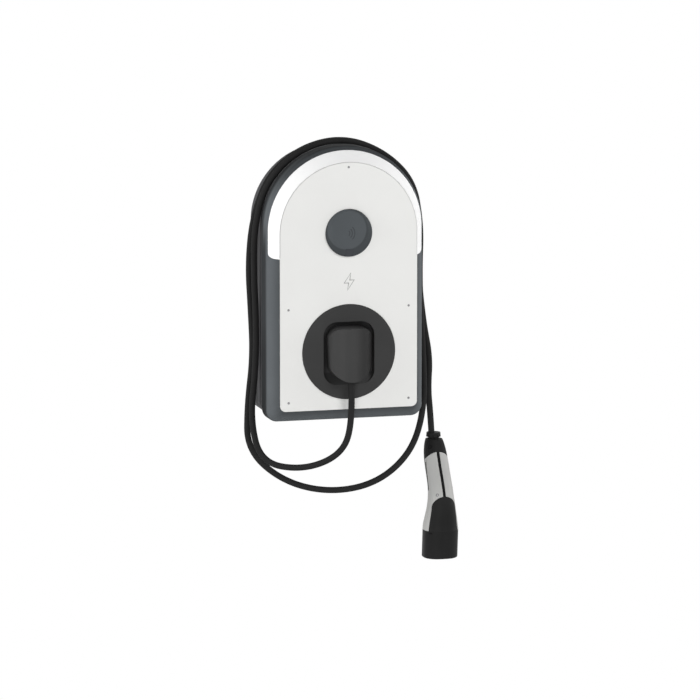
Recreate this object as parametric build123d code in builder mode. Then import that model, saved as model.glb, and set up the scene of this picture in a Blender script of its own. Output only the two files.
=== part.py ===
from build123d import *
import os
from math import pi, radians, tan

# Wall-mounted car charging box with a tethered cable and a hand-held connector, in millimetres.
# Frame: the wall is the plane Y = 0, the front looks towards -Y, +Z is up, X = 0 is the middle.
# A height h is a distance in front of the wall. The origin is the centre of the wall screws.

os.makedirs("parts", exist_ok=True)

# Arch outline of the face panel
panel_half_width = 122.6
arch_z = 95.0
panel_foot_z = -213.1
panel_corner = 10.0
panel_front = 165.0
panel_thickness = 4.0
panel_gap = 0.3

# Front cover: a bevel that leaves the panel's edge, a rounded crest and a straight skirt
rim_drop = 0.8
rim_land = 0.5
crest_side = 17.5
crest_foot = 22.0
crest_rise = 7.5
crest_depth = 29.5
crest_round = 14.0
crest_corner = 20.0
cover_wall = 3.0
cover_front_wall = 4.0
cover_rear = 106.0
bevel_wall = 5.5

# White band let into the bevel over the arch
band_reach = 14.8
band_rise = 3.5
band_foot_z = 53.0
band_corner = 8.0
band_thickness = 2.4
band_gap = 0.2

# Rear base: a tray with drafted sides, screwed to the wall
base_side_front = 11.5
base_side_back = 10.0
base_rise = 4.0
base_foot = 19.0
base_corner = 20.0
base_wall = 4.0
base_back = 4.0
base_rim = 112.0
wall_hole_radius = 3.5
wall_hole_inset = 22.6
wall_hole_x = 2 * (panel_half_width - wall_hole_inset)
wall_hole_z = 300.0

# Gasket on the base's rim and the cover's pressing rib
gasket_height = 2.0
gasket_inset = 0.8
rib_width = 2.4

# Cover screws, set in from the panel's edges, through panel and cover into posts of the base
screw_side = 15.1
screw_foot = 14.9
screw_top = 8.6
screw_middle_z = -35.8
screw_head_radius = 2.0
screw_head_height = 1.6
screw_radius = 1.5
screw_length = 26.0
screw_sink = 0.3
screw_gap = 0.15
post_radius = 5.0
post_gap = 0.2

# Push button in the centre of the arch
button_radius = 41.1
button_edge = 3.0
button_flat_radius = 33.0
button_flat_rise = 5.2
button_height = 7.0
button_top = 3.0
button_travel = 2.0
button_gap = 0.5
skirt_radius = 36.0
skirt_wall = 2.5
guide_gap = 0.3
guide_wall = 4.0
guide_flange = 5.0
guide_flange_height = 4.0
guide_depth = 17.5
lens_width = 14.0
lens_drop = 27.0
lens_depth = 5.0
lens_gap = 0.1
plunger_radius = 4.0
board_thickness = 1.6
switch_size = 12.0
switch_height = 4.3
switch_nub_radius = 1.8
switch_nub_height = 1.2
stop_gap = 0.4
dome_base_radius = 21.0
dome_top_radius = 12.0
dome_wall = 1.8
dome_gap = 0.3

# Black cable outlet disc with a pocket for the hood
outlet_z = -112.35
outlet_radius = 83.0
outlet_proud = 2.0
outlet_edge = 1.2
outlet_opening = 70.0
pocket_half_width = 45.5
pocket_top = 52.7
pocket_foot = 57.0
pocket_corner = 24.0
pocket_depth = 15.0
pocket_slope = 19.0
pocket_wall = 2.5

# Hood over the cable's outlet
hood_front = 194.0
hood_top = 43.5
hood_top_half = 39.0
hood_foot_half = 36.0
hood_side_foot = -26.0
hood_foot = -50.0
hood_top_corner = 20.0
hood_foot_corner = 14.0
hood_round = 30.0
hood_wall = 3.0

# Charging cable and its gland in the hood
cable_radius = 5.5
cable_exit_set_back = 12.0
cable_exit_h = hood_front - cable_exit_set_back
bend_share = 0.45
gland_radius = 9.0
gland_gap = 0.2
gland_proud = 0.65
gland_length = 16.0

# Supply gland under the base
supply_h = 46.0
supply_bore = 6.5
supply_thread = 12.5
supply_flange = 16.0
supply_flange_height = 4.0
supply_nut = 13.0
supply_nut_height = 10.0
supply_nut_taper = 8.0
supply_inside = 9.0
lock_nut_height = 5.0
supply_gap = 0.2

# Mounting plate and what it carries
plate_width = 170.0
plate_height = 330.0
plate_thickness = 2.0
plate_stand = 10.0
plate_boss_radius = 6.0
plate_boss_x = 140.0
plate_boss_z = 240.0
plate_screw_radius = 2.0
plate_screw_head = 4.0
plate_screw_head_height = 2.5
plate_screw_length = 9.0
rail_width = 35.0
rail_height = 7.5
rail_length = 150.0
rail_thickness = 1.0
rail_foot = 25.0
rail_z = 35.0
contactor_width = 54.0
contactor_height = 84.0
contactor_depth = 58.0
contactor_step = 22.0
contactor_x = -40.0
breaker_width = 36.0
breaker_height = 80.0
breaker_depth = 52.0
breaker_nose = 45.0
breaker_nose_depth = 12.0
breaker_x = 32.0
terminal_width = 104.0
terminal_height = 38.0
terminal_depth = 42.0
terminal_count = 5
terminal_hole = 7.0
terminal_hole_depth = 12.5
terminal_z = -128.0
control_width = 120.0
control_height = 70.0
control_z = -58.0
spacer_radius = 4.0
spacer_height = 14.0
spacer_inset = 6.0
sensor_radius = 16.0
sensor_bore = 9.0
sensor_depth = 14.0
sensor_foot = 8.0
sensor_foot_width = 24.0
sensor_z = 116.0

# Connector, hanging with its mating face down: level, height from the wall, width and depth
connector_x = 187.7
handle_sections = [
    (-294.0, 47.0, 29.0, 29.0),
    (-314.0, 54.0, 38.5, 38.5),
    (-330.0, 61.5, 41.0, 41.0),
    (-353.0, 75.5, 41.4, 43.0),
    (-381.0, 90.0, 42.5, 46.5),
    (-416.0, 93.0, 52.0, 52.0),
    (-448.0, 89.5, 61.5, 56.5),
]
section_rounding = 0.44
head_foot_z = -498.5
head_foot_shift = 5.0
head_edge = 2.5
collar_top_z = -283.0
collar_foot_z = -290.5
collar_radius = 12.3
collar_flare = 12.9
collar_notches = 10
collar_notch_width = 3.0
collar_notch_depth = 1.6
neck_radius = 9.5
cable_entry_x = connector_x - 3.7
boot_z = -328.0
boot_h = 60.0
boot_arch_rise = 7.0
boot_arch_half = 20.5
boot_reach = 70.0
handle_lean = 26.0
grip_wall = 2.5
grip_gap = 0.15
stripe_width = 5.0
shield_half_width = 21.5
shield_foot_half = 26.5
shield_top_z = -386.0
rear_length = 38.0
rear_run = 30.0
rear_corner = 14.0
socket_gap = 3.5
socket_depth = 30.0
insert_radius = 22.0
insert_flat = 18.5
insert_recess = 3.0
contact_wall = 1.2
power_pin = 3.1
signal_pin = 1.6
power_spots = [(-16.0, 0.0), (0.0, 0.0), (16.0, 0.0), (-8.2, -13.0), (8.2, -13.0)]
signal_spots = [(-8.5, 11.5), (8.5, 11.5)]
sleeve_depth = 20.0

# Route of the charging cable: down from the hood, twice round the base, then to the connector
cable_route = [
    (0, -cable_exit_h, outlet_z + hood_foot - gland_proud),
    (0, -cable_exit_h, -229),
    (-18, -164, -290),
    (-73, -126, -325),
    (-132, -89, -311),
    (-149, -70, -242),
    (-142, -70, -153),
    (-141, -71, -66),
    (-145, -70, 17),
    (-145, -75, 102),
    (-124, -82, 180),
    (-66, -79, 232),
    (14, -60, 248),
    (92, -47, 221),
    (149, -44, 166),
    (163, -48, 90),
    (158, -55, 7),
    (155, -64, -75),
    (157, -78, -157),
    (153, -96, -236),
    (120, -119, -303),
    (55, -132, -348),
    (-24, -121, -366),
    (-96, -84, -346),
    (-148, -51, -295),
    (-151, -42, -219),
    (-140, -44, -134),
    (-143, -44, -51),
    (-149, -46, 31),
    (-143, -57, 115),
    (-117, -68, 190),
    (-54, -63, 235),
    (27, -42, 246),
    (105, -29, 212),
    (158, -23, 157),
    (169, -22, 79),
    (163, -25, -5),
    (175, -31, -89),
    (181, -37, -150),
    (180, -42, -205),
    (cable_entry_x, -44, -250),
    (cable_entry_x, -44, collar_top_z),
]

# Room that a cut runs past the faces it passes through, and the width of an edge selection
cut_room = 1.0
pick_room = 0.01

# Heights and places worked out from the sizes above
panel_seat = panel_front - panel_thickness
cover_inside = panel_seat - cover_front_wall
rim_h = panel_front - rim_drop
crest_h = panel_front - crest_depth
rib_foot = base_rim + gasket_height
rim_side = base_side_front - gasket_inset
rim_foot = base_foot - gasket_inset
outlet_face = panel_front + outlet_proud
pocket_floor = outlet_face - pocket_depth
button_face = panel_front + button_height
guide_top = panel_front - button_edge - button_travel - stop_gap
guide_foot = cover_inside - guide_depth
board_front = guide_foot
plate_back = base_back + plate_stand
plate_front = plate_back + plate_thickness
rail_front = plate_front + rail_height
base_inner_foot_z = panel_foot_z - base_foot + base_wall
screw_x = panel_half_width - screw_side
screw_low_z = panel_foot_z + screw_foot
screw_spots = [
    (0, arch_z + panel_half_width - screw_top),
    (-screw_x, screw_middle_z),
    (screw_x, screw_middle_z),
    (-screw_x, screw_low_z),
    (screw_x, screw_low_z),
]


def front(h):
    """Plane parallel to the wall, h in front of it, with X to the right and Z up."""
    return Plane(origin=(0, -h, 0), x_dir=(1, 0, 0), z_dir=(0, -1, 0))


def arch(side, foot, corner, rise=0.0, mode=Mode.ADD):
    """Arch grown past the panel's edge, its round top raised, drawn in the active sketch."""
    half = panel_half_width + side
    low = panel_foot_z - foot
    spring = arch_z + rise
    with BuildLine() as outline:
        FilletPolyline((half, spring), (half, low), (-half, low), (-half, spring), radius=corner)
        ThreePointArc((-half, spring), (0, spring + half), (half, spring))
    make_face(outline.edges(), mode=mode)


def rim_ring(h):
    """Face of the ring that runs along the base's rim."""
    with BuildSketch(front(h)) as ring:
        arch(rim_side, rim_foot, base_corner, base_rise)
        arch(
            rim_side - rib_width, rim_foot - rib_width, base_corner - rib_width, base_rise,
            mode=Mode.SUBTRACT,
        )
    return ring.sketch


def bevel(inset):
    """Cover's bevel from crest to rim, with its side moved in by inset."""
    rim = rim_land + panel_gap - inset
    with BuildPart() as solid:
        with BuildSketch(front(crest_h)):
            arch(crest_side - inset, crest_foot - inset, crest_corner, crest_rise)
        with BuildSketch(front(rim_h)):
            arch(rim, rim, panel_corner)
        loft(ruled=True)
    return solid.part


def export(part, name):
    """Label a finished piece and write it to its own file."""
    part.label = name
    export_step(part, "parts/" + name + ".step")


# Shape of the white band, also cut out of the cover with a little room round it
def band_shape(room):
    half = panel_half_width + band_reach + room
    spring = arch_z + band_rise
    with BuildPart() as shape:
        add(bevel(-room))
        add(bevel(band_thickness), mode=Mode.SUBTRACT)
        with BuildSketch(front(cover_rear)):
            with BuildLine():
                FilletPolyline(
                    (half, spring), (half, band_foot_z - room),
                    (-half, band_foot_z - room), (-half, spring), radius=band_corner,
                )
                ThreePointArc((-half, spring), (0, spring + half), (half, spring))
            make_face()
        extrude(amount=panel_front - cover_rear, mode=Mode.INTERSECT)
        with BuildSketch(front(panel_seat)):
            arch(panel_gap, panel_gap, panel_corner)
        extrude(amount=panel_thickness, mode=Mode.SUBTRACT)
    return shape.part


with BuildPart() as arch_band:
    add(band_shape(0))
export(arch_band.part, "arch_band")

# Front cover: outer form, hollow, panel recess, pressing rib, openings and band seat
with BuildPart() as front_cover:
    with BuildSketch(front(cover_rear)):
        arch(crest_side, crest_foot, crest_corner, crest_rise)
    extrude(amount=crest_h - cover_rear)
    add(bevel(0))
    crest = front_cover.edges().filter_by_position(Axis.Y, -crest_h - pick_room, -crest_h + pick_room)
    fillet(crest, crest_round)
    with BuildSketch(front(cover_rear)):
        arch(crest_side - cover_wall, crest_foot - cover_wall, crest_corner - cover_wall, crest_rise)
    extrude(amount=crest_h - cover_wall - cover_rear, mode=Mode.SUBTRACT)
    with BuildSketch(front(crest_h - cover_wall)):
        arch(crest_side - cover_wall, crest_foot - cover_wall, crest_corner - cover_wall, crest_rise)
    with BuildSketch(front(cover_inside)):
        arch(-bevel_wall + cover_wall, -bevel_wall + cover_wall, panel_corner)
    loft(ruled=True, mode=Mode.SUBTRACT)
    extrude(rim_ring(rib_foot), amount=crest_h + 2 * cover_wall - rib_foot)
    with BuildSketch(front(panel_seat)):
        arch(panel_gap, panel_gap, panel_corner)
    extrude(amount=panel_thickness, mode=Mode.SUBTRACT)
    with BuildSketch(front(cover_inside - cut_room)):
        with Locations((0, arch_z)):
            Circle(button_radius + button_gap)
        with Locations((0, outlet_z)):
            Circle(outlet_opening)
        with Locations(*screw_spots):
            Circle(screw_radius + screw_gap)
    extrude(amount=cover_front_wall + 2 * cut_room, mode=Mode.SUBTRACT)
    add(band_shape(band_gap), mode=Mode.SUBTRACT)
export(front_cover.part, "front_cover")

# Face panel with its two round openings and countersunk screw holes
with BuildPart() as face_panel:
    with BuildSketch(front(panel_seat)):
        arch(0, 0, panel_corner)
        with Locations((0, arch_z)):
            Circle(button_radius + button_gap, mode=Mode.SUBTRACT)
        with Locations((0, outlet_z)):
            Circle(outlet_radius + panel_gap, mode=Mode.SUBTRACT)
        with Locations(*screw_spots):
            Circle(screw_radius + screw_gap, mode=Mode.SUBTRACT)
    extrude(amount=panel_thickness)
    with BuildSketch(front(panel_front - screw_sink - screw_head_height)):
        with Locations(*screw_spots):
            Circle(screw_head_radius + screw_gap)
    extrude(amount=screw_sink + screw_head_height, mode=Mode.SUBTRACT)
export(face_panel.part, "face_panel")

# Rear base: tray, posts for the cover screws, bosses for the plate, wall holes and gland hole
with BuildPart() as rear_base:
    with BuildSketch(front(0)):
        arch(base_side_back, base_foot, base_corner, base_rise)
    with BuildSketch(front(base_rim)):
        arch(base_side_front, base_foot, base_corner, base_rise)
    loft(ruled=True)
    with BuildSketch(front(base_back)):
        arch(base_side_back - base_wall, base_foot - base_wall, base_corner - base_wall, base_rise)
    with BuildSketch(front(base_rim)):
        arch(base_side_front - base_wall, base_foot - base_wall, base_corner - base_wall, base_rise)
    loft(ruled=True, mode=Mode.SUBTRACT)
    with BuildSketch(front(0)):
        with Locations(*screw_spots):
            Circle(post_radius)
    extrude(amount=cover_inside - post_gap)
    with BuildSketch(front(cover_inside - post_gap - screw_length)):
        with Locations(*screw_spots):
            Circle(screw_radius + screw_gap)
    extrude(amount=screw_length, mode=Mode.SUBTRACT)
    with BuildSketch(front(base_back)):
        with GridLocations(plate_boss_x, plate_boss_z, 2, 2):
            Circle(plate_boss_radius)
    extrude(amount=plate_stand)
    with BuildSketch(front(base_back)):
        with GridLocations(plate_boss_x, plate_boss_z, 2, 2):
            Circle(plate_screw_radius + screw_gap)
    extrude(amount=plate_stand, mode=Mode.SUBTRACT)
    with BuildSketch(front(0)):
        with GridLocations(wall_hole_x, wall_hole_z, 2, 2):
            Circle(wall_hole_radius)
    extrude(amount=base_back, mode=Mode.SUBTRACT)
    with BuildSketch(Plane.XY.offset(panel_foot_z - base_foot)):
        with Locations((0, -supply_h)):
            Circle(supply_thread + supply_gap)
    extrude(amount=base_wall, mode=Mode.SUBTRACT)
export(rear_base.part, "rear_base")

# Gasket that lies on the base's rim
with BuildPart() as cover_gasket:
    extrude(rim_ring(base_rim), amount=gasket_height)
export(cover_gasket.part, "cover_gasket")

# Cover screws with small round heads
screw_head_h = panel_front - screw_sink - screw_head_height
with BuildPart() as cover_screws:
    with BuildSketch(front(screw_head_h)):
        with Locations(*screw_spots):
            Circle(screw_head_radius)
    extrude(amount=screw_head_height)
    with BuildSketch(front(screw_head_h - screw_length)):
        with Locations(*screw_spots):
            Circle(screw_radius)
    extrude(amount=screw_length)
export(cover_screws.part, "cover_screws")


# Outer form of the button: a short round edge and a flat top set towards the upper side
def button_form():
    with BuildPart() as form:
        with BuildSketch(front(panel_front - button_edge)):
            with Locations((0, arch_z)):
                Circle(button_radius)
        extrude(amount=2 * button_edge)
        with BuildSketch(front(panel_front + button_edge)):
            with Locations((0, arch_z)):
                Circle(button_radius)
        with BuildSketch(front(button_face)):
            with Locations((0, arch_z + button_flat_rise)):
                Circle(button_flat_radius)
        loft(ruled=True)
    return form.part


def lens_block(room):
    """Rectangular block at the button's lower edge."""
    with BuildPart() as block:
        with BuildSketch(front(button_face - lens_depth - button_edge - room)):
            with Locations((0, arch_z - lens_drop + room)):
                Rectangle(
                    lens_width + 2 * room, button_radius - lens_drop + 2 * room,
                    align=(Align.CENTER, Align.MAX),
                )
        extrude(amount=2 * button_height)
    return block.part


with BuildPart() as indicator_lens:
    add(button_form())
    add(lens_block(0), mode=Mode.INTERSECT)
export(indicator_lens.part, "indicator_lens")

plunger_foot = board_front + switch_height + switch_nub_height + button_travel + stop_gap
skirt_foot = board_front + board_thickness + button_travel + stop_gap
with BuildPart() as button_cap:
    add(button_form())
    add(lens_block(lens_gap), mode=Mode.SUBTRACT)
    with BuildSketch(front(skirt_foot)):
        with Locations((0, arch_z)):
            Circle(skirt_radius)
    extrude(amount=panel_front - button_edge - skirt_foot)
    with BuildSketch(front(skirt_foot)):
        with Locations((0, arch_z)):
            Circle(lens_drop - 2 * lens_gap)
    extrude(amount=button_face - button_top - skirt_foot, mode=Mode.SUBTRACT)
    with BuildSketch(front(skirt_foot)):
        with Locations((0, arch_z)):
            Circle(skirt_radius - skirt_wall)
    extrude(amount=panel_front - button_edge - skirt_foot, mode=Mode.SUBTRACT)
    with BuildSketch(front(plunger_foot)):
        with Locations((0, arch_z)):
            Circle(plunger_radius)
    extrude(amount=button_face - button_top - plunger_foot)
export(button_cap.part, "button_cap")

# Fixed guide ring for the button's skirt, held behind the cover's front wall
guide_bore = skirt_radius + guide_gap
with BuildPart() as button_guide:
    with BuildSketch(front(guide_foot)):
        with Locations((0, arch_z)):
            Circle(guide_bore + guide_wall)
            Circle(guide_bore, mode=Mode.SUBTRACT)
    extrude(amount=guide_top - guide_foot)
    with BuildSketch(front(cover_inside - guide_flange_height)):
        with Locations((0, arch_z)):
            Circle(guide_bore + guide_wall + guide_flange)
            Circle(guide_bore, mode=Mode.SUBTRACT)
    extrude(amount=guide_flange_height)
export(button_guide.part, "button_guide")

with BuildPart() as indicator_board:
    with BuildSketch(front(board_front - board_thickness)):
        with Locations((0, arch_z)):
            Circle(guide_bore + guide_wall)
    extrude(amount=board_thickness)
export(indicator_board.part, "indicator_board")

with BuildPart() as push_switch:
    with BuildSketch(front(board_front)):
        with Locations((0, arch_z)):
            Rectangle(switch_size, switch_size)
    extrude(amount=switch_height)
    with BuildSketch(front(board_front + switch_height)):
        with Locations((0, arch_z)):
            Circle(switch_nub_radius)
    extrude(amount=switch_nub_height)
export(push_switch.part, "push_switch")

# Soft rubber dome that pushes the button back
dome_height = button_face - button_top - dome_gap - board_front
with BuildPart() as return_dome:
    with BuildSketch(front(board_front)):
        with Locations((0, arch_z)):
            Circle(dome_base_radius)
    with BuildSketch(front(board_front + dome_height)):
        with Locations((0, arch_z)):
            Circle(dome_top_radius)
    loft(ruled=True)
    with BuildSketch(front(board_front)):
        with Locations((0, arch_z)):
            Circle(dome_base_radius - dome_wall)
    with BuildSketch(front(board_front + dome_height)):
        with Locations((0, arch_z)):
            Circle(dome_top_radius - dome_wall)
    loft(ruled=True, mode=Mode.SUBTRACT)
export(return_dome.part, "return_dome")


# Pocket outline of the outlet disc, grown by room, drawn in the active sketch
def pocket_outline(room):
    with Locations((0, outlet_z + (pocket_top - pocket_foot) / 2)):
        RectangleRounded(
            2 * (pocket_half_width + room), pocket_top + pocket_foot + 2 * room, pocket_corner + room,
        )


# Wedge under the pocket's sloping lower wall, which the hood's foot rests on
with BuildPart() as pocket_wedge:
    with BuildSketch(Plane.YZ):
        with BuildLine():
            Polyline(
                (-pocket_floor, outlet_z - pocket_foot + pocket_slope),
                (-outlet_face, outlet_z - pocket_foot),
                (-pocket_floor, outlet_z - pocket_foot),
                close=True,
            )
        make_face()
    extrude(amount=pocket_half_width, both=True)

# Space in front of the pocket's floor
with BuildPart() as pocket_space:
    with BuildSketch(front(pocket_floor)):
        pocket_outline(0)
    extrude(amount=pocket_depth)
    add(pocket_wedge.part, mode=Mode.SUBTRACT)

with BuildPart() as outlet_disc:
    with BuildSketch(front(panel_seat)):
        with Locations((0, outlet_z)):
            Circle(outlet_radius)
    extrude(amount=outlet_face - panel_seat)
    fillet(outlet_disc.edges().group_by(Axis.Y)[0], outlet_edge)
    with BuildSketch(front(pocket_floor - pocket_wall)):
        pocket_outline(pocket_wall)
    extrude(amount=panel_seat - pocket_floor + pocket_wall)
    add(pocket_space.part, mode=Mode.SUBTRACT)
export(outlet_disc.part, "outlet_disc")


# Hood outline on the pocket's floor, moved in by inset: wide at the top, round at the foot
def hood_outline(inset):
    top = outlet_z + hood_top - inset
    side_foot = outlet_z + hood_side_foot
    low = outlet_z + hood_foot + inset
    with BuildSketch(front(pocket_floor)) as outline:
        with BuildLine():
            Polyline(
                (-hood_foot_half + inset, side_foot), (-hood_top_half + inset, top),
                (hood_top_half - inset, top), (hood_foot_half - inset, side_foot),
            )
            ThreePointArc(
                (hood_foot_half - inset, side_foot), (0, low), (-hood_foot_half + inset, side_foot),
            )
        make_face()
        fillet(outline.vertices().group_by(Axis.Y)[-1], hood_top_corner - inset)
        fillet(outline.vertices().sort_by(Axis.Y)[0:2], hood_foot_corner)
    return outline.sketch


# Hood moved in by inset: its outline pulled forward, with both sides rounded over to the front
def hood_form(inset):
    half = hood_top_half - inset
    face = inset - hood_front
    with BuildPart() as form:
        extrude(hood_outline(inset), amount=hood_front - inset - pocket_floor)
        with BuildSketch(Plane.XY.offset(outlet_z + hood_foot)):
            with BuildLine():
                FilletPolyline(
                    (-half, -pocket_floor), (-half, face), (half, face), (half, -pocket_floor),
                    radius=hood_round - inset,
                )
                Line((half, -pocket_floor), (-half, -pocket_floor))
            make_face()
        extrude(amount=hood_top - hood_foot, mode=Mode.INTERSECT)
    return form.part


gland_foot_z = outlet_z + hood_foot - gland_proud
with BuildPart() as cable_hood:
    add(hood_form(0))
    add(hood_form(hood_wall), mode=Mode.SUBTRACT)
    add(pocket_wedge.part, mode=Mode.SUBTRACT)
    with BuildSketch(Plane.XY.offset(gland_foot_z - cut_room)):
        with Locations((0, -cable_exit_h)):
            Circle(gland_radius + gland_gap)
    extrude(amount=gland_length, mode=Mode.SUBTRACT)
export(cable_hood.part, "cable_hood")

# Cable gland: a plug in the hood's foot with a collar inside
with BuildPart() as cable_gland:
    with BuildSketch(Plane.XY.offset(gland_foot_z)):
        with Locations((0, -cable_exit_h)):
            Circle(gland_radius)
    extrude(amount=gland_length)
export(cable_gland.part, "cable_gland")

# Charging cable: straight runs joined by arcs as large as the runs allow
runs = [Vector(*b) - Vector(*a) for a, b in zip(cable_route, cable_route[1:])]
bend_radii = []
for before, after in zip(runs, runs[1:]):
    turn = radians(before.get_angle(after))
    bend_radii.append(bend_share * min(before.length, after.length) / tan(turn / 2))
print("cable bend radii:", [round(r) for r in bend_radii])
with BuildPart() as charging_cable:
    with BuildLine():
        cable_path = FilletPolyline(*cable_route, radius=bend_radii)
    with BuildSketch(Plane(origin=cable_path @ 0, z_dir=cable_path % 0)):
        Circle(cable_radius)
    sweep()
cable_length = cable_path.length
print("cable length:", round(cable_length))
print("cable volume over section x length:",
      round(charging_cable.part.volume / (pi * cable_radius**2 * cable_length), 5))
export(charging_cable.part, "charging_cable")

# Supply gland under the base, with its lock nut inside
supply_seat_z = panel_foot_z - base_foot
with BuildPart() as supply_gland:
    with BuildSketch(Plane.XY.offset(supply_seat_z)):
        with Locations((0, -supply_h)):
            Circle(supply_flange)
    extrude(amount=-supply_flange_height)
    with BuildSketch(Plane.XY.offset(supply_seat_z - supply_flange_height)):
        with Locations((0, -supply_h)):
            RegularPolygon(supply_nut, 6)
    extrude(amount=-supply_nut_height, taper=supply_nut_taper)
    with BuildSketch(Plane.XY.offset(supply_seat_z)):
        with Locations((0, -supply_h)):
            Circle(supply_thread)
    extrude(amount=base_wall + supply_inside)
    with BuildSketch(Plane.XY.offset(supply_seat_z - supply_flange_height - supply_nut_height)):
        with Locations((0, -supply_h)):
            Circle(supply_bore)
    extrude(
        amount=supply_flange_height + supply_nut_height + base_wall + supply_inside,
        mode=Mode.SUBTRACT,
    )
export(supply_gland.part, "supply_gland")

with BuildPart() as supply_lock_nut:
    with BuildSketch(Plane.XY.offset(base_inner_foot_z)):
        with Locations((0, -supply_h)):
            RegularPolygon(supply_flange + supply_gap, 6)
            Circle(supply_thread + supply_gap, mode=Mode.SUBTRACT)
    extrude(amount=lock_nut_height)
export(supply_lock_nut.part, "supply_lock_nut")

# Steel mounting plate with its screws
with BuildPart() as mounting_plate:
    with BuildSketch(front(plate_back)):
        RectangleRounded(plate_width, plate_height, plate_boss_radius)
        with GridLocations(plate_boss_x, plate_boss_z, 2, 2):
            Circle(plate_screw_radius + screw_gap, mode=Mode.SUBTRACT)
    extrude(amount=plate_thickness)
export(mounting_plate.part, "mounting_plate")

with BuildPart() as plate_screws:
    with BuildSketch(front(plate_front)):
        with GridLocations(plate_boss_x, plate_boss_z, 2, 2):
            Circle(plate_screw_head)
    extrude(amount=plate_screw_head_height)
    with BuildSketch(front(plate_front)):
        with GridLocations(plate_boss_x, plate_boss_z, 2, 2):
            Circle(plate_screw_radius)
    extrude(amount=-plate_screw_length)
export(plate_screws.part, "plate_screws")

# Top-hat rail
with BuildPart() as din_rail:
    with BuildSketch(Plane.YZ):
        with BuildLine():
            Polyline(
                (-plate_front, rail_z - rail_foot / 2),
                (-plate_front, rail_z + rail_foot / 2),
                (-rail_front + rail_thickness, rail_z + rail_foot / 2),
                (-rail_front + rail_thickness, rail_z + rail_width / 2),
                (-rail_front, rail_z + rail_width / 2),
                (-rail_front, rail_z + rail_foot / 2 - rail_thickness),
                (-plate_front - rail_thickness, rail_z + rail_foot / 2 - rail_thickness),
                (-plate_front - rail_thickness, rail_z - rail_foot / 2 + rail_thickness),
                (-rail_front, rail_z - rail_foot / 2 + rail_thickness),
                (-rail_front, rail_z - rail_width / 2),
                (-rail_front + rail_thickness, rail_z - rail_width / 2),
                (-rail_front + rail_thickness, rail_z - rail_foot / 2),
                close=True,
            )
        make_face()
    extrude(amount=rail_length / 2, both=True)
export(din_rail.part, "din_rail")

# Contactor: a lower base with a taller middle
with BuildPart() as contactor:
    with BuildSketch(front(rail_front)):
        with Locations((contactor_x, rail_z)):
            Rectangle(contactor_width, contactor_height)
    extrude(amount=contactor_depth - contactor_step)
    with BuildSketch(front(rail_front + contactor_depth - contactor_step)):
        with Locations((contactor_x, rail_z)):
            Rectangle(contactor_width, contactor_height - 2 * contactor_step)
    extrude(amount=contactor_step)
export(contactor.part, "contactor")

# Leakage breaker with its raised nose
with BuildPart() as leakage_breaker:
    with BuildSketch(front(rail_front)):
        with Locations((breaker_x, rail_z)):
            Rectangle(breaker_width, breaker_height)
    extrude(amount=breaker_depth)
    with BuildSketch(front(rail_front + breaker_depth)):
        with Locations((breaker_x, rail_z)):
            Rectangle(breaker_width, breaker_nose)
    extrude(amount=breaker_nose_depth)
export(leakage_breaker.part, "leakage_breaker")

# Terminal block with a row of wire entries
terminal_pitch = terminal_width / terminal_count
with BuildPart() as terminal_block:
    with BuildSketch(front(plate_front)):
        with Locations((0, terminal_z)):
            Rectangle(terminal_width, terminal_height)
    extrude(amount=terminal_depth)
    with BuildSketch(Plane.XY.offset(terminal_z - terminal_height / 2)):
        with Locations((0, -plate_front - terminal_depth / 2)):
            with GridLocations(terminal_pitch, 1, terminal_count, 1):
                Circle(terminal_hole)
    extrude(amount=terminal_hole_depth, mode=Mode.SUBTRACT)
export(terminal_block.part, "terminal_block")

# Control board on four spacers
spacer_x = control_width - 2 * spacer_inset
spacer_z = control_height - 2 * spacer_inset
with BuildPart() as board_spacers:
    with BuildSketch(front(plate_front)):
        with Locations((0, control_z)):
            with GridLocations(spacer_x, spacer_z, 2, 2):
                Circle(spacer_radius)
    extrude(amount=spacer_height)
export(board_spacers.part, "board_spacers")

with BuildPart() as control_board:
    with BuildSketch(front(plate_front + spacer_height)):
        with Locations((0, control_z)):
            Rectangle(control_width, control_height)
    extrude(amount=board_thickness)
export(control_board.part, "control_board")

# Leakage current sensor: a ring on a small foot
sensor_h = plate_front + sensor_foot + sensor_radius
with BuildPart() as leakage_sensor:
    with BuildSketch(Plane.XY.offset(sensor_z)):
        with Locations((0, -sensor_h)):
            Circle(sensor_radius)
        with Locations((0, -plate_front)):
            Rectangle(sensor_foot_width, sensor_foot + sensor_radius, align=(Align.CENTER, Align.MAX))
        with Locations((0, -sensor_h)):
            Circle(sensor_bore, mode=Mode.SUBTRACT)
    extrude(amount=sensor_depth)
export(leakage_sensor.part, "leakage_sensor")


# Outer form of the connector's handle, moved in by inset
def handle_form(inset):
    with BuildPart() as form:
        for level, h, width, depth in handle_sections:
            with BuildSketch(Plane.XY.offset(level)):
                with Locations((connector_x, -h)):
                    RectangleRounded(
                        width - 2 * inset, depth - 2 * inset,
                        section_rounding * (min(width, depth) - 2 * inset),
                    )
        loft()
    return form.part


# Space of the black shield seen from the front: a round top and sides that open downwards
def shield_space(room):
    half = shield_half_width + room
    foot_half = shield_foot_half + room
    spring_z = shield_top_z - shield_half_width
    with BuildPart() as space:
        with BuildSketch(front(0)):
            with BuildLine():
                Polyline(
                    (connector_x - half, spring_z), (connector_x - foot_half, head_top_z),
                    (connector_x + foot_half, head_top_z), (connector_x + half, spring_z),
                )
                ThreePointArc(
                    (connector_x + half, spring_z), (connector_x, spring_z + half),
                    (connector_x - half, spring_z),
                )
            make_face()
        extrude(amount=reach)
        add(handle_form(grip_wall), mode=Mode.SUBTRACT)
        split(bisect_by=shield_plane, keep=Keep.TOP)
    return space.part


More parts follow.
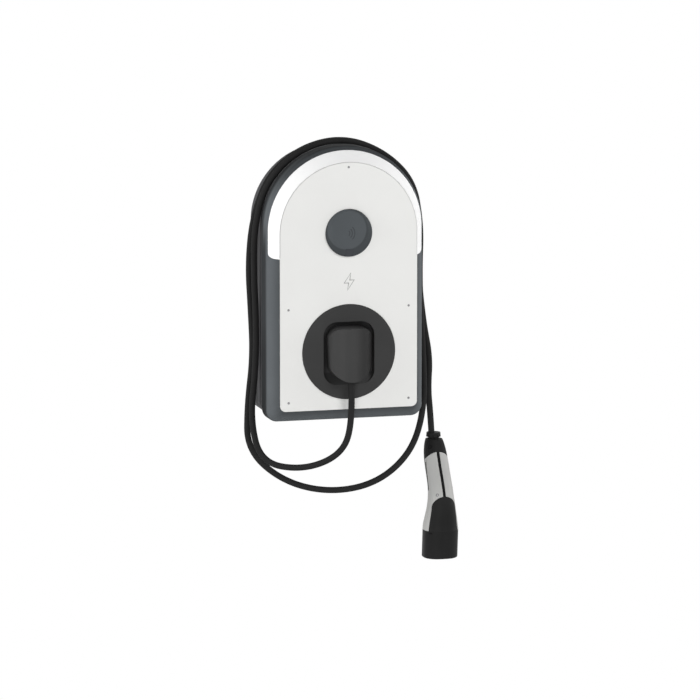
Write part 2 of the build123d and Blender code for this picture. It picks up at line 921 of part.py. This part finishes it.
head_top_z, head_h, head_width, head_depth = handle_sections[-1]
reach = 2 * head_h
boot_plane = Plane(origin=(connector_x, -boot_h, boot_z)).rotated((-handle_lean, 0, 0))
boot_face = Plane(origin=boot_plane.origin, x_dir=boot_plane.x_dir, z_dir=-boot_plane.y_dir)
boot_side = Plane(origin=boot_plane.origin, x_dir=boot_plane.y_dir, z_dir=boot_plane.x_dir)
shield_plane = front(head_h)

# Space of the boot: above an arch that crosses the handle from side to side
with BuildPart() as boot_space:
    with BuildSketch(boot_face):
        with BuildLine():
            ThreePointArc((-boot_arch_half, 0), (0, boot_arch_rise), (boot_arch_half, 0))
            Polyline(
                (boot_arch_half, 0), (boot_reach, 0), (boot_reach, boot_reach),
                (-boot_reach, boot_reach), (-boot_reach, 0), (-boot_arch_half, 0),
            )
        make_face()
    extrude(amount=boot_reach, both=True)


# Space behind the handle's middle, where the black core shows, grown by room
def rear_space(room):
    turn_z = -rear_length - room
    foot_z = turn_z - rear_run
    with BuildPart() as space:
        with BuildSketch(boot_side):
            with BuildLine():
                FilletPolyline(
                    (-room, boot_reach), (-room, turn_z), (rear_run, foot_z), radius=rear_corner,
                )
                Polyline(
                    (rear_run, foot_z), (boot_reach, foot_z), (boot_reach, boot_reach), (-room, boot_reach),
                )
            make_face()
        extrude(amount=boot_reach, both=True)
    return space.part


# Rubber boot: the handle's upper end, with a neck for the collar
neck_y = cable_route[-1][1]
with BuildPart() as connector_boot:
    add(handle_form(0))
    add(boot_space.part, mode=Mode.INTERSECT)
    with BuildSketch(Plane.XY.offset(collar_foot_z)):
        with Locations((connector_x, neck_y)):
            Circle(neck_radius)
    extrude(amount=handle_sections[1][0] - collar_foot_z)
export(connector_boot.part, "connector_boot")

# Notched collar round the cable
with BuildPart() as boot_collar:
    with BuildSketch(Plane.XY.offset(collar_foot_z)):
        with Locations((connector_x, neck_y)):
            Circle(collar_flare)
    with BuildSketch(Plane.XY.offset(collar_top_z)):
        with Locations((connector_x, neck_y)):
            Circle(collar_radius)
    loft(ruled=True)
    with BuildSketch(Plane.XY.offset(collar_foot_z)):
        with Locations((connector_x, neck_y)):
            with PolarLocations(collar_flare, collar_notches):
                Rectangle(2 * collar_notch_depth, collar_notch_width)
    extrude(amount=(collar_top_z - collar_foot_z) / 2, mode=Mode.SUBTRACT)
export(boot_collar.part, "boot_collar")

# Back of the handle, left free by the grips
with BuildPart() as handle_rear:
    add(handle_form(0))
    add(rear_space(0), mode=Mode.INTERSECT)

# Black core under the grips, with the stripe that shows between them
with BuildPart() as connector_core:
    add(handle_form(0))
    with BuildSketch(Plane.XY.offset(head_top_z)):
        with Locations((connector_x, 0)):
            Rectangle(stripe_width, reach, align=(Align.CENTER, Align.MAX))
    extrude(amount=reach, mode=Mode.INTERSECT)
    add(shield_space(0), mode=Mode.SUBTRACT)
    add(handle_form(grip_wall))
    add(handle_rear.part)
    add(boot_space.part, mode=Mode.SUBTRACT)
export(connector_core.part, "connector_core")


# One grip shell: the skin of the handle on one side of the stripe
def grip_shell(side):
    start = connector_x + side * (stripe_width / 2 + grip_gap)
    with BuildPart() as shell:
        add(handle_form(0))
        add(handle_form(grip_wall), mode=Mode.SUBTRACT)
        add(boot_space.part, mode=Mode.SUBTRACT)
        add(rear_space(grip_gap), mode=Mode.SUBTRACT)
        add(shield_space(grip_gap), mode=Mode.SUBTRACT)
        with BuildSketch(Plane.XY.offset(head_top_z)):
            with Locations((start + side * reach / 2, 0)):
                Rectangle(reach, reach, align=(Align.CENTER, Align.MAX))
        extrude(amount=reach, mode=Mode.INTERSECT)
    return shell.part


for side, name in ((-1, "grip_shell_left"), (1, "grip_shell_right")):
    export(grip_shell(side), name)

# Connector head with its front shield and the hollow for the contacts
head_foot_y = -head_h + head_foot_shift
socket_top_z = head_foot_z + socket_depth
with BuildPart() as connector_head:
    add(handle_form(0))
    add(shield_space(0), mode=Mode.INTERSECT)
    with BuildSketch(Plane.XY.offset(head_top_z)):
        with Locations((connector_x, -head_h)):
            RectangleRounded(head_width, head_depth, section_rounding * head_depth)
    with BuildSketch(Plane.XY.offset(head_foot_z)):
        with Locations((connector_x, head_foot_y)):
            RectangleRounded(head_width, head_depth, section_rounding * head_depth)
    loft(ruled=True)
    fillet(connector_head.faces().sort_by(Axis.Z)[0].edges(), head_edge)
    with BuildSketch(Plane.XY.offset(head_foot_z)):
        with Locations((connector_x, head_foot_y)):
            Circle(insert_radius + socket_gap)
    extrude(amount=socket_depth, mode=Mode.SUBTRACT)
export(connector_head.part, "connector_head")

# Contact insert with its holes, and the contact sleeves in them
insert_y = head_foot_y
insert_foot_z = head_foot_z + insert_recess


def contact_circles(extra):
    with Locations(*[(connector_x + x, insert_y + y) for x, y in power_spots]):
        Circle(power_pin + extra)
    with Locations(*[(connector_x + x, insert_y + y) for x, y in signal_spots]):
        Circle(signal_pin + extra)


with BuildPart() as contact_insert:
    with BuildSketch(Plane.XY.offset(insert_foot_z)):
        with Locations((connector_x, insert_y)):
            Circle(insert_radius)
        with Locations((connector_x, insert_y + insert_flat)):
            Rectangle(2 * insert_radius, insert_radius, align=(Align.CENTER, Align.MIN), mode=Mode.SUBTRACT)
    extrude(amount=socket_top_z - insert_foot_z)
    with BuildSketch(Plane.XY.offset(insert_foot_z)):
        contact_circles(contact_wall)
    extrude(amount=sleeve_depth, mode=Mode.SUBTRACT)
export(contact_insert.part, "contact_insert")

with BuildPart() as contact_sleeves:
    with BuildSketch(Plane.XY.offset(insert_foot_z + insert_recess)):
        contact_circles(contact_wall)
    extrude(amount=sleeve_depth - insert_recess)
    with BuildSketch(Plane.XY.offset(insert_foot_z + insert_recess)):
        contact_circles(0)
    extrude(amount=sleeve_depth - 2 * insert_recess, mode=Mode.SUBTRACT)
export(contact_sleeves.part, "contact_sleeves")
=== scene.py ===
from math import cos, pi, radians, sin

import bmesh
import bpy
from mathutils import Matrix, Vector


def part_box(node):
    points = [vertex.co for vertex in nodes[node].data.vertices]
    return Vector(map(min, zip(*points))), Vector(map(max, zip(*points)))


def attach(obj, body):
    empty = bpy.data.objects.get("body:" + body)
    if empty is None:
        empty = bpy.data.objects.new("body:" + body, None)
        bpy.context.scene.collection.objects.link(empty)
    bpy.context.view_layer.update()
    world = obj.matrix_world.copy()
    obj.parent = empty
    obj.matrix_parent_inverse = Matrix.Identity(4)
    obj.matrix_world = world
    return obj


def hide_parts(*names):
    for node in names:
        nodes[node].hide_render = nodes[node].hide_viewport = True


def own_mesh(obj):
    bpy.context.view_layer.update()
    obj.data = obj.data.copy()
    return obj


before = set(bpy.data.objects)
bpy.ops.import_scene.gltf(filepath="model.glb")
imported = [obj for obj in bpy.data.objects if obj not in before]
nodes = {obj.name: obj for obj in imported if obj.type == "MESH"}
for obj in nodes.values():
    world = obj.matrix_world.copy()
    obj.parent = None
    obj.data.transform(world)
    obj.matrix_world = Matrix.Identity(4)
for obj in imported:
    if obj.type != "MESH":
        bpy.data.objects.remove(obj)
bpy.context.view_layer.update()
scene = bpy.context.scene
scene.view_settings.view_transform = "Standard"

# Camera: the photograph's viewing angle in degrees, distance in metres and lens in millimetres
view_azimuth = radians(15.278)
view_elevation = radians(9.219)
view_distance = 9.651
view_target = Vector((0.0022, -0.165, -0.1096))
view_clip = 50.0
view_lens = 287.1
sensor_width = 36.0

back = Vector((
    -sin(view_azimuth) * cos(view_elevation),
    -cos(view_azimuth) * cos(view_elevation),
    sin(view_elevation),
))
camera = bpy.data.objects.new("camera", bpy.data.cameras.new("camera"))
camera.data.lens = view_lens
camera.data.sensor_width = sensor_width
camera.data.clip_end = view_clip
camera.location = view_target + view_distance * back
camera.rotation_euler = back.to_track_quat("Z", "Y").to_euler()
scene.collection.objects.link(camera)
scene.camera = camera

# Colours and material nodes: scales count features per metre, the depth is in metres
noise_low = 0.3
noise_high = 0.7
drift_scale = 14.0
gloss_drift = 0.03
line_scale = 500.0
line_gloss = 0.08
line_shade = 0.8
line_bite = 0.08
relief_depth = 0.0001


def tone(red, green, blue):
    """Linear colour of an sRGB one given in steps from 0 to 255."""
    def linear(step):
        share = step / 255
        return share / 12.92 if share <= 0.04045 else ((share + 0.055) / 1.055) ** 2.4
    return (linear(red), linear(green), linear(blue), 1.0)


def scaled(color, share):
    """A colour times a share, still opaque."""
    return tuple(share * c for c in color[:3]) + (1.0,)


def shader(name, **values):
    """New material; the values are the constant sockets of its principled shader."""
    mat = bpy.data.materials.new(name)
    mat.use_nodes = True
    surface = mat.node_tree.nodes["Principled BSDF"]
    for socket, value in values.items():
        surface.inputs[socket.replace("_", " ")].default_value = value
    return mat, mat.node_tree, surface


def noise(tree, scale, detail=2.0, stretch=(1, 1, 1)):
    """Noise in the object's own coordinates."""
    place = tree.nodes.new("ShaderNodeTexCoord")
    mapping = tree.nodes.new("ShaderNodeMapping")
    mapping.inputs["Scale"].default_value = stretch
    texture = tree.nodes.new("ShaderNodeTexNoise")
    texture.inputs["Scale"].default_value = scale
    texture.inputs["Detail"].default_value = detail
    tree.links.new(place.outputs["Object"], mapping.inputs["Vector"])
    tree.links.new(mapping.outputs["Vector"], texture.inputs["Vector"])
    return texture.outputs["Fac"]


def ranged(tree, value, low, high):
    """The middle part of a noise's values, spread over a range."""
    spread = tree.nodes.new("ShaderNodeMapRange")
    spread.inputs["From Min"].default_value = noise_low
    spread.inputs["From Max"].default_value = noise_high
    spread.inputs["To Min"].default_value = low
    spread.inputs["To Max"].default_value = high
    tree.links.new(value, spread.inputs["Value"])
    return spread.outputs["Result"]


def blotch(tree, surface, value, dark, light):
    """Base colour that drifts between two colours."""
    mix = tree.nodes.new("ShaderNodeMix")
    mix.data_type = "RGBA"
    mix.inputs["A"].default_value = dark
    mix.inputs["B"].default_value = light
    tree.links.new(ranged(tree, value, 0.0, 1.0), mix.inputs["Factor"])
    tree.links.new(mix.outputs["Result"], surface.inputs["Base Color"])


def relief(tree, surface, value, strength):
    """Fine bump from a noise."""
    bump = tree.nodes.new("ShaderNodeBump")
    bump.inputs["Strength"].default_value = strength
    bump.inputs["Distance"].default_value = relief_depth
    tree.links.new(value, bump.inputs["Height"])
    tree.links.new(bump.outputs["Normal"], surface.inputs["Normal"])


def moulded(name, color, rough, drift=0.06, grain=2400.0, bite=0.10, **values):
    """Moulded plastic or rubber: a slow drift of colour and gloss under a fine grain."""
    mat, tree, surface = shader(name, **values)
    slow = noise(tree, drift_scale, detail=3.0)
    blotch(tree, surface, slow, scaled(color, 1 - drift), scaled(color, 1 + drift))
    gloss = ranged(tree, slow, rough - gloss_drift, rough + gloss_drift)
    tree.links.new(gloss, surface.inputs["Roughness"])
    relief(tree, surface, noise(tree, grain), bite)
    return mat


def metal(name, color, rough, stretch):
    """Worked metal with a fine mottle, drawn out into lines where the stretch is small."""
    mat, tree, surface = shader(name, Metallic=1.0)
    lines = noise(tree, line_scale, detail=3.0, stretch=stretch)
    blotch(tree, surface, lines, scaled(color, line_shade), color)
    gloss = ranged(tree, lines, rough - line_gloss, rough + line_gloss)
    tree.links.new(gloss, surface.inputs["Roughness"])
    relief(tree, surface, lines, line_bite)
    return mat


# Nodes for painted shade that changes from place to place; a CAD node's own coordinates are the frame's


def along(tree, axis):
    """One of the object's own coordinates: X to the right, Y towards the wall, Z up."""
    place = tree.nodes.new("ShaderNodeTexCoord")
    parts = tree.nodes.new("ShaderNodeSeparateXYZ")
    tree.links.new(place.outputs["Object"], parts.inputs["Vector"])
    return parts.outputs[axis]


def round_from(tree, x, z):
    """Distance from an axis that runs front to back."""
    place = tree.nodes.new("ShaderNodeTexCoord")
    flat = tree.nodes.new("ShaderNodeMapping")
    flat.inputs["Location"].default_value = (-x, 0, -z)
    flat.inputs["Scale"].default_value = (1, 0, 1)
    length = tree.nodes.new("ShaderNodeVectorMath")
    length.operation = "LENGTH"
    tree.links.new(place.outputs["Object"], flat.inputs["Vector"])
    tree.links.new(flat.outputs["Vector"], length.inputs[0])
    return length.outputs["Value"]


def arch_reach(tree, z):
    """Distance from the middle plane below a height, and from an arch's centre above it."""
    above = tree.nodes.new("ShaderNodeMapRange")
    above.inputs["From Min"].default_value = z
    above.inputs["From Max"].default_value = z + 1
    whole = tree.nodes.new("ShaderNodeCombineXYZ")
    length = tree.nodes.new("ShaderNodeVectorMath")
    length.operation = "LENGTH"
    tree.links.new(along(tree, "Z"), above.inputs["Value"])
    tree.links.new(along(tree, "X"), whole.inputs["X"])
    tree.links.new(above.outputs["Result"], whole.inputs["Z"])
    tree.links.new(whole.outputs["Vector"], length.inputs[0])
    return length.outputs["Value"]


def stepped(tree, value, start, end):
    """0 up to the start mark and 1 from the end mark on, with a soft step between."""
    step = tree.nodes.new("ShaderNodeMapRange")
    step.interpolation_type = "SMOOTHSTEP"
    step.inputs["From Min"].default_value = start
    step.inputs["From Max"].default_value = end
    tree.links.new(value, step.inputs["Value"])
    return step.outputs["Result"]


def joined(tree, operation, first, second):
    """Two values joined by a math operation."""
    join = tree.nodes.new("ShaderNodeMath")
    join.operation = operation
    tree.links.new(first, join.inputs[0])
    tree.links.new(second, join.inputs[1])
    return join.outputs[0]


def darkened(mat, amount, share):
    """Base colour brought down to a share of itself where the amount is 1, for painted shade."""
    tree = mat.node_tree
    base = tree.nodes["Principled BSDF"].inputs["Base Color"]
    mix = tree.nodes.new("ShaderNodeMix")
    mix.data_type = "RGBA"
    mix.blend_type = "MULTIPLY"
    mix.inputs["B"].default_value = (share, share, share, 1.0)
    tree.links.new(amount, mix.inputs["Factor"])
    tree.links.new(base.links[0].from_socket, mix.inputs["A"])
    tree.links.new(mix.outputs["Result"], base)


# Materials with painted shade that changes from place to place, with its marks in metres


def shell_painted_shade():
    """Cover with painted shade: the skirt dark, darkest low down, and the bevel darker towards the front
    and over the arch.
    """
    mat = moulded("shell_grey", tone(97, 101, 104), 0.55, Specular_IOR_Level=0.02)
    tree = mat.node_tree
    behind_crest = stepped(tree, along(tree, "Y"), -0.139, -0.130)
    far_behind_crest = stepped(tree, along(tree, "Y"), -0.128, -0.112)
    right_of_corner = stepped(tree, along(tree, "X"), -0.11, -0.05)
    under_corner = stepped(tree, along(tree, "Z"), 0.13, 0.06)
    low_down = stepped(tree, along(tree, "Z"), -0.03, -0.12)
    bevel_front = stepped(tree, along(tree, "Y"), -0.142, -0.168)
    arch_top = stepped(tree, along(tree, "Z"), 0.150, 0.205)

    # In the upper left corner the painted skirt shade begins further back, so the crest stays light there
    off_corner = joined(tree, "MAXIMUM", right_of_corner, under_corner)
    skirt = joined(tree, "MULTIPLY", off_corner, behind_crest)
    skirt = joined(tree, "MAXIMUM", skirt, far_behind_crest)
    # Painted shade on the skirt behind the crest, darker again low down
    darkened(mat, skirt, share=0.24)
    darkened(mat, joined(tree, "MULTIPLY", skirt, low_down), share=0.6)
    # Painted shade on the bevel towards the front
    darkened(mat, bevel_front, share=0.63)
    # Painted shade over the top of the arch
    darkened(mat, arch_top, share=0.48)
    return mat


def button_painted_shade():
    """Button with painted shade: a darker crescent along the lower right of its rim, in place of a shaded
    dish flank.
    """
    mat = moulded("button_grey", tone(80, 84, 87), 0.5, Specular_IOR_Level=0.06)
    tree = mat.node_tree
    light_x, light_z = -0.005, 0.1015
    crescent = stepped(tree, round_from(tree, light_x, light_z), 0.0330, 0.0358)
    # Painted shade: the crescent outside the lit middle of the cap
    darkened(mat, crescent, share=0.66)
    return mat


def panel_painted_shade():
    """Face panel with painted shade: a thin grey line along its rim beside the band, in place of the shadow
    in the gap.
    """
    mat = moulded(
        "panel_white", tone(231, 231, 229), 0.35, drift=0.01, bite=0.03, Specular_IOR_Level=0.1,
    )
    tree = mat.node_tree
    arch_height = 0.095
    rim = stepped(tree, arch_reach(tree, arch_height), 0.1210, 0.1220)
    beside_band = stepped(tree, along(tree, "Z"), 0.05, 0.06)
    # Painted shade of the gap between the panel and the band
    darkened(mat, joined(tree, "MULTIPLY", rim, beside_band), share=0.72)
    return mat


def outlet_painted_shade():
    """Outlet disc with painted shade inside its pocket, left off at the foot and the right side."""
    mat = moulded("outlet_black", tone(61, 61, 61), 0.5, Specular_IOR_Level=0.05)
    tree = mat.node_tree
    inside = stepped(tree, along(tree, "Y"), -0.166, -0.158)
    above_foot = stepped(tree, along(tree, "Z"), -0.152, -0.134)
    left_of_side = stepped(tree, along(tree, "X"), 0.036, 0.022)
    pocket = joined(tree, "MULTIPLY", inside, above_foot)
    pocket = joined(tree, "MULTIPLY", pocket, left_of_side)
    # Painted shade in the pocket
    darkened(mat, pocket, share=0.55)
    return mat


def hood_painted_shade():
    """Hood with painted shade, darker towards its right edge."""
    mat = moulded("hood_black", tone(65, 65, 65), 0.45, Specular_IOR_Level=0.05)
    tree = mat.node_tree
    right_half = stepped(tree, along(tree, "X"), 0.000, 0.036)
    # Painted shade over the right part of the hood
    darkened(mat, right_half, share=0.34)
    return mat


# The finishes, five of them with painted shade, and the CAD nodes that take each of them
shell_grey = shell_painted_shade()
button_grey = button_painted_shade()
base_grey = moulded("base_grey", tone(74, 74, 76), 0.55, Specular_IOR_Level=0.05)
panel_white = panel_painted_shade()
band_white = moulded("band_white", tone(252, 252, 252), 0.35, drift=0.01, bite=0.02, Specular_IOR_Level=0.2)
outlet_black = outlet_painted_shade()
hood_black = hood_painted_shade()
gland_black = moulded("gland_black", tone(32, 32, 32), 0.5, Specular_IOR_Level=0.05)
cable_black = moulded("cable_black", tone(43, 43, 43), 0.5, grain=1500.0, Specular_IOR_Level=0.015)
boot_black = moulded("boot_black", tone(34, 34, 34), 0.5, Specular_IOR_Level=0.04)
core_black = moulded("core_black", tone(24, 24, 24), 0.5, Specular_IOR_Level=0.03)
connector_black = moulded("connector_black", tone(36, 36, 36), 0.45, Specular_IOR_Level=0.05)
grip_grey = moulded("grip_grey", tone(182, 182, 180), 0.42, drift=0.03, Specular_IOR_Level=0.1)
lens_smoke = moulded("lens_smoke", tone(56, 59, 63), 0.15, bite=0.0, Specular_IOR_Level=0.25)
inner_black = moulded("inner_black", tone(52, 52, 54), 0.5, Specular_IOR_Level=0.2)
device_grey = moulded("device_grey", tone(190, 190, 186), 0.5, Specular_IOR_Level=0.2)
board_green = moulded("board_green", tone(28, 82, 44), 0.35, Specular_IOR_Level=0.3)
seal_black = moulded("seal_black", tone(24, 24, 24), 0.7, Specular_IOR_Level=0.05)
zinc_steel = metal("zinc_steel", tone(172, 174, 176), 0.35, (1, 1, 0.05))
dark_steel = metal("dark_steel", tone(140, 140, 142), 0.4, (1, 1, 1))
turned_brass = metal("turned_brass", tone(196, 160, 92), 0.3, (1, 1, 0.1))
print_grey = moulded("print_grey", tone(142, 142, 140), 0.5, grain=4000.0, Specular_IOR_Level=0.1)
symbol_grey = moulded("symbol_grey", tone(68, 71, 74), 0.55, Specular_IOR_Level=0.05)

finishes = {
    shell_grey: ["front_cover"],
    button_grey: ["button_cap"],
    base_grey: ["rear_base"],
    panel_white: ["face_panel"],
    band_white: ["arch_band"],
    outlet_black: ["outlet_disc"],
    hood_black: ["cable_hood"],
    gland_black: ["cable_gland", "supply_gland", "supply_lock_nut"],
    boot_black: ["connector_boot", "boot_collar"],
    core_black: ["connector_core"],
    connector_black: ["connector_head", "contact_insert"],
    grip_grey: ["grip_shell_left", "grip_shell_right"],
    lens_smoke: ["indicator_lens"],
    inner_black: ["button_guide", "push_switch", "contactor", "leakage_sensor"],
    device_grey: ["leakage_breaker", "terminal_block"],
    board_green: ["indicator_board", "control_board"],
    seal_black: ["cover_gasket", "return_dome"],
    zinc_steel: ["mounting_plate", "plate_screws", "din_rail"],
    dark_steel: ["cover_screws"],
    turned_brass: ["board_spacers", "contact_sleeves"],
}
for mat, names in finishes.items():
    for name in names:
        nodes[name].data.materials.clear()
        nodes[name].data.materials.append(mat)

# Small pieces, with their sizes and places in metres


def bead(name, points, radius, mat, body, closed=False, rise=1.0):
    """Thin line that lies half sunk in a surface; rise flattens it towards the front."""
    curve = bpy.data.curves.new(name, "CURVE")
    curve.dimensions = "3D"
    curve.bevel_depth = radius
    curve.bevel_resolution = 3
    curve.use_fill_caps = True
    start = Vector(points[0])
    line = curve.splines.new("POLY")
    line.points.add(len(points) - 1)
    for point, place in zip(line.points, points):
        point.co = (*(Vector(place) - start), 1.0)
    line.use_cyclic_u = closed
    piece = bpy.data.objects.new(name, curve)
    piece.location = start
    piece.scale = (1, rise, 1)
    curve.materials.append(mat)
    scene.collection.objects.link(piece)
    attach(piece, body)
    return piece


def turned(name, place, normal, rings, mat, hollow=False):
    """Round piece about a normal; rings of radius and rise run outwards, or round a hollow one's wall."""
    mesh = bpy.data.meshes.new(name)
    form = bmesh.new()
    sides = 24
    loops = []
    for radius, rise in rings:
        loop = []
        for side in range(sides):
            turn = 2 * pi * side / sides
            loop.append(form.verts.new((radius * cos(turn), radius * sin(turn), rise)))
        loops.append(loop)
    if hollow:
        loops.append(loops[0])
    else:
        form.faces.new(loops[0])
        form.faces.new(reversed(loops[-1]))
    for inner, outer in zip(loops, loops[1:]):
        for side in range(sides):
            after = (side + 1) % sides
            form.faces.new((inner[side], outer[side], outer[after], inner[after]))
    bmesh.ops.recalc_face_normals(form, faces=form.faces)
    form.to_mesh(mesh)
    form.free()
    piece = bpy.data.objects.new(name, mesh)
    piece.location = place
    piece.rotation_euler = Vector(normal).to_track_quat("Z", "Y").to_euler()
    mesh.materials.append(mat)
    scene.collection.objects.link(piece)
    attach(piece, "housing")
    return piece


# Outlined bolt printed on the panel, its corners in millimetres from its middle
panel_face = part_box("face_panel")[0][1]
bolt_x, bolt_z = 0.0008, 0.0102
bolt_corners = [(3, 15), (-9, -2.5), (-1, -2.5), (-3, -15), (9, 2.5), (1, 2.5)]
bolt_line = 0.0011
bolt_rise = 0.2
bolt = [(bolt_x + across / 1000, panel_face, bolt_z + up / 1000) for across, up in bolt_corners]
bead("bolt_print", bolt, bolt_line, print_grey, "housing", closed=True, rise=bolt_rise)

# Three faint waves on the button
button_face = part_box("button_cap")[0][1]
wave_x, wave_z = -0.0060, 0.0952
wave_radii = (0.006, 0.0105, 0.015)
wave_turns = [radians(angle) for angle in range(-45, 46, 9)]
wave_line = 0.0009
wave_rise = 0.15
for number, radius in enumerate(wave_radii):
    wave = [(wave_x + radius * cos(turn), button_face, wave_z + radius * sin(turn)) for turn in wave_turns]
    bead(
        "button_wave_%d" % number, wave, wave_line, symbol_grey, "button",
        rise=wave_rise,
    )

# Rubber dome behind the button, built in one fixed shape; the real one gives way as the button goes in
dome_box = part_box("return_dome")
dome_height = dome_box[1][1] - dome_box[0][1]
dome_radius = (dome_box[1][0] - dome_box[0][0]) / 2
dome_foot = (0.0, dome_box[1][1], (dome_box[0][2] + dome_box[1][2]) / 2)
dome_top_radius = 0.012
dome_wall = 0.0018
dome_rings = [
    (dome_radius - dome_wall, 0.0), (dome_top_radius - dome_wall, dome_height),
    (dome_top_radius, dome_height), (dome_radius, 0.0),
]
dome = turned("dome_rubber", dome_foot, (0, -1, 0), dome_rings, seal_black, hollow=True)
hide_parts("return_dome")
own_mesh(dome)

# Connector: a seam strip on the left flank, a latch slot, a screw and a boot eyelet
seam_route = [
    (0.1673, -0.0673, -0.3316), (0.1670, -0.0717, -0.3415), (0.1670, -0.0763, -0.3515),
    (0.1670, -0.0801, -0.3615), (0.1669, -0.0844, -0.3714), (0.1666, -0.0882, -0.3785),
]
seam_radius = 0.0009
latch_route = [(0.1617, -0.1075, -0.4513), (0.1638, -0.1097, -0.4515), (0.1659, -0.1117, -0.4517)]
latch_radius = 0.0011
screw_place = (0.1755, -0.1115, -0.3832)
screw_normal = (-0.486, -0.807, 0.335)
screw_rings = [
    (0.0003, -0.0002), (0.0011, -0.0002), (0.0013, 0.0004),
    (0.0024, 0.0003), (0.0029, -0.0003), (0.0029, -0.0008),
]
eyelet_place = (0.1754, -0.0651, -0.3056)
eyelet_normal = (-0.597, -0.675, 0.434)
eyelet_rings = [
    (0.0006, -0.0001), (0.0018, -0.0001), (0.0022, 0.0005),
    (0.0031, 0.0004), (0.0037, -0.0003), (0.0037, -0.0010),
]
connector_trim = [
    bead("grip_seam", seam_route, seam_radius, core_black, "housing"),
    bead("latch_slot", latch_route, latch_radius, seal_black, "housing"),
    turned("grip_screw", screw_place, screw_normal, screw_rings, dark_steel),
    turned("boot_eyelet", eyelet_place, eyelet_normal, eyelet_rings, seal_black),
]

# Charging cable: down from the hood, twice round the base, then to the connector, in metres
cable_route = [
    (0.000, -0.182, -0.163),
    (0.0025, -0.182, -0.240),
    (-0.0150, -0.164, -0.2945),
    (-0.072, -0.126, -0.324),
    (-0.138, -0.089, -0.3145),
    (-0.152, -0.070, -0.239),
    (-0.142, -0.070, -0.153),
    (-0.141, -0.071, -0.066),
    (-0.145, -0.070, 0.017),
    (-0.145, -0.075, 0.102),
    (-0.1245, -0.084, 0.180),
    (-0.066, -0.079, 0.232),
    (0.014, -0.060, 0.2474),
    (0.092, -0.047, 0.221),
    (0.149, -0.044, 0.166),
    (0.163, -0.048, 0.090),
    (0.158, -0.055, 0.007),
    (0.1585, -0.064, -0.075),
    (0.1600, -0.078, -0.157),
    (0.155, -0.096, -0.238),
    (0.124, -0.119, -0.306),
    (0.058, -0.132, -0.3535),
    (-0.024, -0.121, -0.367),
    (-0.098, -0.084, -0.350),
    (-0.153, -0.051, -0.298),
    (-0.150, -0.042, -0.219),
    (-0.140, -0.044, -0.134),
    (-0.1437, -0.044, -0.051),
    (-0.1497, -0.049, 0.031),
    (-0.143, -0.057, 0.115),
    (-0.117, -0.069, 0.190),
    (-0.054, -0.063, 0.235),
    (0.027, -0.042, 0.2454),
    (0.105, -0.029, 0.2135),
    (0.1587, -0.023, 0.158),
    (0.169, -0.022, 0.079),
    (0.1648, -0.025, -0.005),
    (0.1725, -0.031, -0.089),
    (0.183, -0.037, -0.150),
    (0.178, -0.042, -0.205),
    (0.182, -0.044, -0.250),
    (0.184, -0.044, -0.283),
]
cable_diameter = 0.011

curve = bpy.data.curves.new("cable", "CURVE")
curve.dimensions = "3D"
curve.bevel_depth = cable_diameter / 2
curve.bevel_resolution = 8
curve.resolution_u = 12
curve.use_fill_caps = True
line = curve.splines.new("NURBS")
line.points.add(len(cable_route) - 1)
for point, place in zip(line.points, cable_route):
    point.co = (*place, 1.0)
line.order_u = 3
line.use_endpoint_u = True
cable = bpy.data.objects.new("cable", curve)
scene.collection.objects.link(cable)
curve.materials.append(cable_black)
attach(cable, "housing")
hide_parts("charging_cable")

# Floor, background and light
floor_level = -1.2
floor_size = 6.0
ambient = 0.18


def seen(tree):
    """1 for the rays that show the background: camera, glossy and transmission rays."""
    path = tree.nodes.new("ShaderNodeLightPath")
    direct = joined(tree, "MAXIMUM", path.outputs["Is Camera Ray"], path.outputs["Is Transmission Ray"])
    return joined(tree, "MAXIMUM", direct, path.outputs["Is Glossy Ray"])


def floor_material():
    """Pale matt floor that shows as white."""
    mat, tree, surface = shader("floor", Roughness=0.9, Base_Color=tone(225, 225, 225))
    glow = tree.nodes.new("ShaderNodeEmission")
    mix = tree.nodes.new("ShaderNodeMixShader")
    tree.links.new(seen(tree), mix.inputs["Fac"])
    tree.links.new(surface.outputs["BSDF"], mix.inputs[1])
    tree.links.new(glow.outputs["Emission"], mix.inputs[2])
    tree.links.new(mix.outputs["Shader"], tree.nodes["Material Output"].inputs["Surface"])
    return mat


half = floor_size / 2
floor_corners = [
    (-half, -half, floor_level), (half, -half, floor_level),
    (half, half, floor_level), (-half, half, floor_level),
]
floor_mesh = bpy.data.meshes.new("floor")
floor_mesh.from_pydata(floor_corners, [], [(0, 1, 2, 3)])
floor_mesh.materials.append(floor_material())
floor = bpy.data.objects.new("floor", floor_mesh)
scene.collection.objects.link(floor)

# The world is white where it is seen, and a soft fill for the rest
world = bpy.data.worlds.new("studio")
scene.world = world
world.use_nodes = True
air = world.node_tree
sky = air.nodes["Background"]
sky.inputs["Color"].default_value = (1, 1, 1, 1)
level = air.nodes.new("ShaderNodeMix")
level.inputs["A"].default_value = ambient
level.inputs["B"].default_value = 1.0
air.links.new(seen(air), level.inputs["Factor"])
air.links.new(level.outputs["Result"], sky.inputs["Strength"])


def softbox(name, azimuth, elevation, distance, size, radiance):
    """Square area light that faces the box, with the brightness of its own surface."""
    a, e = radians(azimuth), radians(elevation)
    away = Vector((sin(a) * cos(e), -cos(a) * cos(e), sin(e)))
    light = bpy.data.lights.new(name, "AREA")
    light.shape = "SQUARE"
    light.size = size
    light.energy = radiance * pi * size ** 2
    lamp = bpy.data.objects.new(name, light)
    lamp.location = view_target + distance * away
    lamp.rotation_euler = away.to_track_quat("Z", "Y").to_euler()
    lamp.visible_camera = False
    scene.collection.objects.link(lamp)


softbox("key", azimuth=28, elevation=32, distance=3.2, size=1.4, radiance=6.7)
softbox("front", azimuth=-20, elevation=-6, distance=3.6, size=2.0, radiance=3.9)
softbox("left", azimuth=-92, elevation=14, distance=2.5, size=2.0, radiance=3.4)
softbox("right", azimuth=84, elevation=8, distance=2.6, size=1.4, radiance=3.8)
